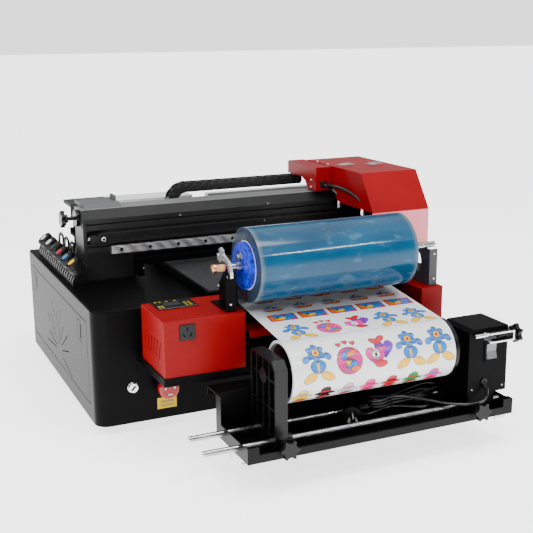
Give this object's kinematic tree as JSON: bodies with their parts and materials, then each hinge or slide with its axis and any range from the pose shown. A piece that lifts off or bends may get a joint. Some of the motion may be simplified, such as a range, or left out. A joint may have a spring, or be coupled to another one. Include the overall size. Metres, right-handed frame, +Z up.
{
  "type": "flatbed uv printer",
  "caption": "Desktop flatbed UV printer with a moving bed, a gantry carriage on a rail, and a film laminator with a motor-driven take-up tray on its front.",
  "frame": {"origin": "middle of the footprint's bounding box, on the floor under the feet", "axes": "+X along the gantry rail to the operator's right, +Y to the rear along the bed's travel, +Z up"},
  "size_m": [0.738, 0.935, 0.438],
  "materials": {
    "black_paint": "fine textured black powder coat",
    "pale_paint": "light grey satin powder coat",
    "red_paint": "semi-gloss red paint",
    "bright_steel": "brushed, with fine lines along its length",
    "lock_chrome": "polished nickel",
    "bed_aluminium": "dark hard-anodised",
    "head_steel": "machined",
    "black_plastic": "moulded matt black",
    "stop_red": "glossy red",
    "hose": "milky translucent tube",
    "belt_rubber": "black toothed belt",
    "roller_rubber": "grey ground rubber",
    "cord_rubber": "smooth black flex",
    "board": "green circuit board and a grey case",
    "panel_plastic": "pale membrane panel",
    "latch_white": "white moulded",
    "blue_film": "wound clear film with a blue cast",
    "blue_plug": "mottled blue moulding",
    "printed_film": "glossy white film printed with small motifs"
  },
  "bodies": {
    "cabinet": {"beam": "black_paint", "beam_end_plates": "black_paint", "belt_tensioner": "bright_steel", "brake_bracket": "bright_steel", "cabinet_feet": "black_plastic", "cabinet_shell": "black_paint", "control_panel": "panel_plastic", "cord_gland": "black_plastic", "cord_hank": "cord_rubber", "crossbar": "bright_steel", "electronics": "board", "estop_base": "black_plastic", "film_web": "printed_film", "ink_bottles": "black_plastic", "ink_hoses": "hose", "ink_rack": "black_paint", "laminator_base": "black_paint", "laminator_box_left": "red_paint", "laminator_box_right": "red_paint", "mains_cord": "cord_rubber", "mains_plug": "black_plastic", "motor_box": "black_paint", "nip_side_plates": "black_paint", "platen_rails": "bright_steel", "power_outlet": "black_plastic", "rear_shelves": "pale_paint", "stand_left": "black_paint", "stand_right": "black_paint", "takeup_frame": "black_paint", "takeup_rods": "bright_steel", "x_belt": "belt_rubber", "x_drive": "black_paint", "x_rail": "bright_steel"},
    "door": {"side_door": "black_paint"},
    "door_latch_front_body": {"door_latch_front": "black_paint"},
    "door_latch_rear_body": {"door_latch_rear": "black_paint"},
    "lock": {"key_lock_barrel": "lock_chrome"},
    "stop_button": {"estop_button": "stop_red"},
    "bed": {"platen_top": "bed_aluminium", "platen_frame": "black_paint"},
    "carriage": {"carriage_cover": "red_paint", "carriage_plate": "black_paint", "print_head": "head_steel", "chain_upper": "black_plastic"},
    "cable_chain": {"chain_loop": "black_plastic"},
    "idler": {"idler_pulley": "bright_steel"},
    "belt_knob": {"tension_knob": "black_plastic"},
    "supply_roll": {"supply_film": "blue_film", "supply_plugs": "blue_plug", "supply_spindle": "bright_steel"},
    "nip_upper": {"nip_roller_upper": "roller_rubber"},
    "nip_lower": {"nip_roller_lower": "roller_rubber"},
    "takeup_roll": {"takeup_film": "printed_film", "takeup_hubs": "black_plastic"},
    "spindle_latch": {"stand_latch": "latch_white"},
    "left_bearing": {"takeup_support": "black_plastic"},
    "bearing_knob": {"support_knob": "black_plastic"},
    "drive_knob": {"motor_knob": "black_plastic"},
    "brake": {"brake_knob": "black_plastic"},
    "rocker": {"rocker_switch": "black_plastic"}
  },
  "joints": [
    {"name": "door_hinge", "type": "hinge", "parent": "cabinet", "child": "door", "pos_m": [-0.368, 0.1955, 0.052], "axis": [0, -1, 0], "range_deg": [0, 90]},
    {"name": "front_latch", "type": "hinge", "parent": "door", "child": "door_latch_front_body", "pos_m": [-0.368, 0.0055, 0.178], "axis": [0, 0, -1], "range_deg": [0, 35]},
    {"name": "rear_latch", "type": "hinge", "parent": "door", "child": "door_latch_rear_body", "pos_m": [-0.368, 0.4165, 0.178], "axis": [0, 0, -1], "range_deg": [0, 35]},
    {"name": "key_lock", "type": "hinge", "parent": "cabinet", "child": "lock", "pos_m": [-0.3, -0.1135, 0.088], "axis": [0, 1, 0], "range_deg": [0, 90]},
    {"name": "stop_push", "type": "slide", "parent": "cabinet", "child": "stop_button", "axis": [0, 1, 0], "range_m": [0, 0.005], "stiffness_N_per_m": 400},
    {"name": "bed_slide", "type": "slide", "parent": "cabinet", "child": "bed", "axis": [0, 1, 0], "range_m": [0, 0.15]},
    {"name": "carriage_slide", "type": "slide", "parent": "cabinet", "child": "carriage", "axis": [1, 0, 0], "range_m": [-0.42, 0]},
    {"name": "chain_slide", "type": "slide", "parent": "carriage", "child": "cable_chain", "axis": [1, 0, 0], "range_m": [0, 0.21], "deforming": ["chain_upper"]},
    {"name": "idler_spin", "type": "hinge", "parent": "cabinet", "child": "idler", "pos_m": [-0.289, 0.1035, 0.328], "axis": [0, 1, 0], "continuous": true},
    {"name": "belt_knob_turn", "type": "hinge", "parent": "cabinet", "child": "belt_knob", "pos_m": [-0.357, 0.1485, 0.364], "axis": [1, 0, 0], "continuous": true},
    {"name": "supply_spin", "type": "hinge", "parent": "cabinet", "child": "supply_roll", "pos_m": [0.031, -0.2499, 0.3316], "axis": [1, 0, 0], "continuous": true},
    {"name": "takeup_spin", "type": "hinge", "parent": "cabinet", "child": "takeup_roll", "pos_m": [0.031, -0.3815, 0.178], "axis": [1, 0, 0], "continuous": true},
    {"name": "spindle_latch_turn", "type": "hinge", "parent": "cabinet", "child": "spindle_latch", "pos_m": [-0.164, -0.2685, 0.319], "axis": [1, 0, 0], "range_deg": [0, 80]},
    {"name": "bearing_slide", "type": "slide", "parent": "cabinet", "child": "left_bearing", "axis": [1, 0, 0], "range_m": [-0.04, 0]},
    {"name": "bearing_knob_turn", "type": "hinge", "parent": "left_bearing", "child": "bearing_knob", "pos_m": [-0.145, -0.4535, 0.076], "axis": [0, 1, 0], "continuous": true},
    {"name": "drive_knob_turn", "type": "hinge", "parent": "cabinet", "child": "drive_knob", "pos_m": [0.228, -0.4535, 0.076], "axis": [0, 1, 0], "continuous": true},
    {"name": "brake_turn", "type": "hinge", "parent": "cabinet", "child": "brake", "pos_m": [0.31, -0.439, 0.203], "axis": [1, 0, 0], "continuous": true},
    {"name": "rocker_tip", "type": "hinge", "parent": "cabinet", "child": "rocker", "pos_m": [0.2645, -0.4265, 0.17375], "axis": [1, 0, 0], "range_deg": [0, 12]},
    {"name": "nip_upper_spin", "type": "hinge", "parent": "cabinet", "child": "nip_upper", "pos_m": [0.031, -0.18732, 0.26994], "axis": [1, 0, 0], "continuous": true},
    {"name": "nip_lower_spin", "type": "hinge", "parent": "cabinet", "child": "nip_lower", "pos_m": [0.031, -0.18352, 0.23676], "axis": [1, 0, 0], "continuous": true}
  ],
  "couplings": [
    {"joint": "chain_slide", "follows": "carriage_slide", "ratio": -0.5},
    {"joint": "idler_spin", "follows": "carriage_slide", "rad_per_m": 111.73},
    {"joint": "nip_upper_spin", "follows": "supply_spin", "ratio": 4.4133},
    {"joint": "nip_lower_spin", "follows": "supply_spin", "ratio": -3.8941},
    {"joint": "takeup_spin", "follows": "supply_spin", "ratio": -1.2491}
  ]
}
